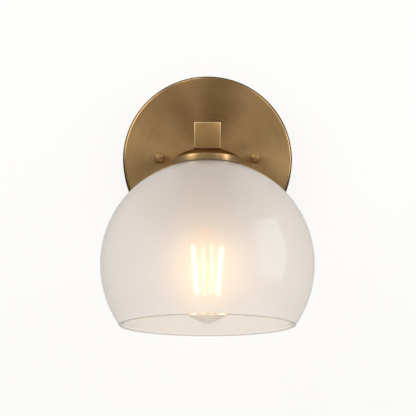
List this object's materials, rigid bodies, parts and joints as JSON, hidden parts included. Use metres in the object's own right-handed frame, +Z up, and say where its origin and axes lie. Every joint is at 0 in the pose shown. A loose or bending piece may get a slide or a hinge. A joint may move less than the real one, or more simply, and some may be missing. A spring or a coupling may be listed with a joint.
{
  "type": "globe wall lamp",
  "caption": "Wall lamp with a round brushed brass backplate, square arm and domed cap over an open frosted glass globe with a screw-base filament bulb.",
  "frame": {"origin": "middle of the mounting bracket's back face, on the wall plane and on the backplate's axis", "axes": "+Y into the wall, -Y out towards the room, +Z up, +X to the right of someone facing the lamp"},
  "size_m": [0.177, 0.2071, 0.2304],
  "materials": {
    "aged_brass": "brushed, aged and lacquered",
    "plain_brass": "bright stamped brass",
    "zinc_steel": "zinc-plated steel",
    "green_paint": "green dyed zinc plating",
    "frosted_glass": "satin etched white",
    "clear_glass": "clear",
    "black_glass": "fused black glass",
    "silicone": "matt moulded silicone",
    "phenolic": "moulded phenolic",
    "black_insulation": "extruded insulation",
    "white_insulation": "extruded insulation",
    "green_insulation": "extruded insulation",
    "connector_plastic": "ribbed moulding",
    "nickel": "nickel plated",
    "circuit_board": "glass-fibre board",
    "phosphor": "phosphor-coated strip, lit"
  },
  "bodies": {
    "lamp": {"mounting_bracket": "zinc_steel", "ground_screw": "green_paint", "bracket_stud_left": "zinc_steel", "bracket_stud_right": "zinc_steel", "stud_lock_nuts": "zinc_steel", "backplate": "aged_brass", "arm": "aged_brass", "arm_plug": "zinc_steel", "arm_nipple": "zinc_steel", "arm_lock_washer": "zinc_steel", "ground_lug": "plain_brass", "ground_lead": "green_insulation", "arm_lock_nut": "zinc_steel", "arm_bush": "zinc_steel", "socket_nipple": "zinc_steel", "shade_cap": "aged_brass", "cap_lock_nut": "zinc_steel", "shade_gasket": "silicone", "glass_shade": "frosted_glass", "socket_sleeve": "aged_brass", "socket_body": "phenolic", "socket_shell": "plain_brass", "centre_contact": "plain_brass", "terminal_rivets": "plain_brass", "hot_lead": "black_insulation", "neutral_lead": "white_insulation", "wire_connectors": "connector_plastic"},
    "knob_left": {"knob_left": "aged_brass"},
    "knob_right": {"knob_right": "aged_brass"},
    "shade_ring": {"shade_ring": "aged_brass"},
    "bulb_tip": {"bulb_tip": "nickel"},
    "bulb": {"bulb_insulator": "black_glass", "bulb_base": "nickel", "bulb_driver": "circuit_board", "bulb_glass": "clear_glass", "bulb_stem": "clear_glass", "bulb_filaments": "phosphor", "filament_wires": "nickel"}
  },
  "joints": [
    {"name": "knob_left_turn", "type": "hinge", "parent": "lamp", "child": "knob_left", "pos_m": [-0.04127, -0.0265, 0], "axis": [0, -1, 0], "continuous": true},
    {"name": "knob_right_turn", "type": "hinge", "parent": "lamp", "child": "knob_right", "pos_m": [0.04127, -0.0265, 0], "axis": [0, -1, 0], "continuous": true},
    {"name": "shade_ring_turn", "type": "hinge", "parent": "lamp", "child": "shade_ring", "pos_m": [0, -0.1186, -0.03], "axis": [0, 0, -1], "continuous": true},
    {"name": "bulb_travel", "type": "slide", "parent": "lamp", "child": "bulb_tip", "axis": [0, 0, -1], "range_m": [0, 0.0182]},
    {"name": "bulb_turn", "type": "hinge", "parent": "bulb_tip", "child": "bulb", "pos_m": [0, -0.1186, -0.12], "axis": [0, 0, -1], "range_deg": [0, 1800]}
  ],
  "couplings": [
    {"joint": "bulb_travel", "follows": "bulb_turn", "m_per_rad": 0.0005775}
  ]
}
